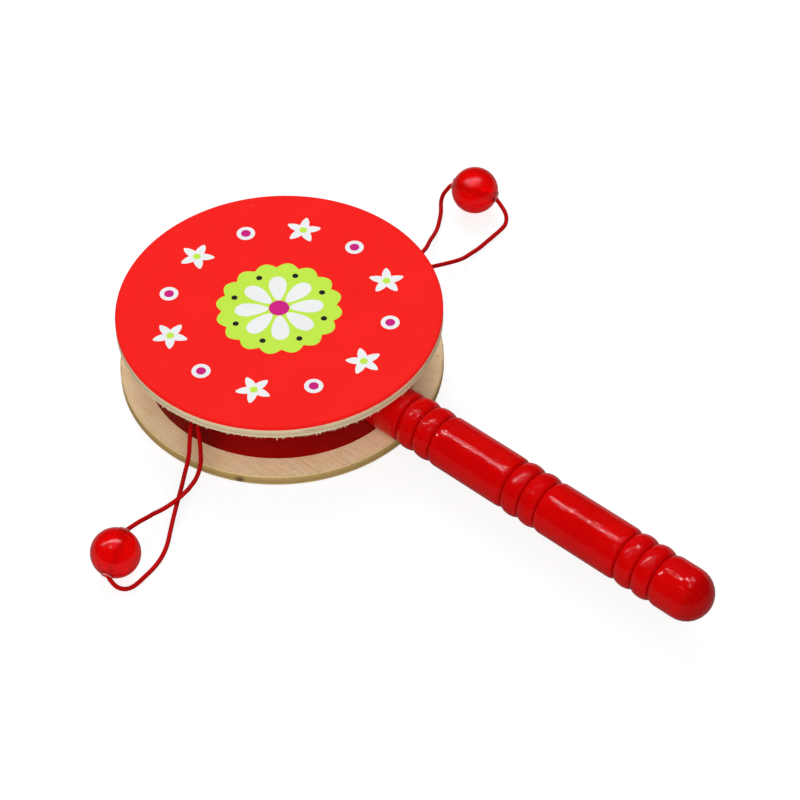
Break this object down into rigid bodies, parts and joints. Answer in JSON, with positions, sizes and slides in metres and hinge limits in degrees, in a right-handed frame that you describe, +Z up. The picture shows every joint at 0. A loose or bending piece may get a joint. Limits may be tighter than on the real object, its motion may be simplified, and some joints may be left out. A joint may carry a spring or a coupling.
{
  "type": "pellet drum rattle",
  "caption": "Hand-held wooden drum rattle: round plywood heads on a ring, a turned handle, and a bead on a cord loop at each side that swings to strike either head.",
  "frame": {"origin": "middle of the back face, which the rattle lies on", "axes": "+X along the handle, towards its knob; +Z up, from the back head to the front head; +Y to the right as seen from the front with the handle down"},
  "size_m": [0.1724, 0.1595, 0.02],
  "materials": {
    "plywood": "raw sanded plywood, layered edge, fuzzy where sawn",
    "printed_film": "bright red printed film with a soft gloss",
    "ring_paint": "wood painted dark red, satin",
    "handle_paint": "turned wood under glossy red paint, slightly rough with the grain",
    "cord": "dark red elastic cord",
    "bead_acrylic": "clear red acrylic, polished"
  },
  "bodies": {
    "drum": {"back_film": "printed_film", "back_head": "plywood", "drum_ring": "ring_paint", "front_head": "plywood", "front_film": "printed_film", "handle": "handle_paint", "left_knot": "cord", "left_cord_root": "cord", "right_knot": "cord", "right_cord_root": "cord"},
    "left_link": {"left_cord_link": "cord"},
    "left_loop": {"left_cord_loop": "cord"},
    "left_bead": {"left_bead": "bead_acrylic"},
    "right_link": {"right_cord_link": "cord"},
    "right_loop": {"right_cord_loop": "cord"},
    "right_bead": {"right_bead": "bead_acrylic"}
  },
  "joints": [
    {"name": "left_swing", "type": "hinge", "parent": "drum", "child": "left_link", "pos_m": [0.0097, -0.0412, 0.0065], "axis": [-1, 0, 0], "range_deg": [-72, 106]},
    {"name": "left_fold", "type": "hinge", "parent": "left_link", "child": "left_loop", "pos_m": [0.0137, -0.0549, 0.0024], "axis": [-1, 0, 0], "range_deg": [-120, 46]},
    {"name": "left_bead_spin", "type": "hinge", "parent": "left_loop", "child": "left_bead", "pos_m": [0.0152, -0.0738, 0.006], "axis": [0.3171, -0.8713, -0.3746], "continuous": true},
    {"name": "right_swing", "type": "hinge", "parent": "drum", "child": "right_link", "pos_m": [0.0059, 0.0413, 0.0065], "axis": [1, 0, 0], "range_deg": [-72, 106]},
    {"name": "right_fold", "type": "hinge", "parent": "right_link", "child": "right_loop", "pos_m": [0.0061, 0.0552, 0.0024], "axis": [1, 0, 0], "range_deg": [-120, 46]},
    {"name": "right_bead_spin", "type": "hinge", "parent": "right_loop", "child": "right_bead", "pos_m": [0, 0.0737, 0.006], "axis": [0.9023, 0.4017, -0.1564], "continuous": true}
  ]
}
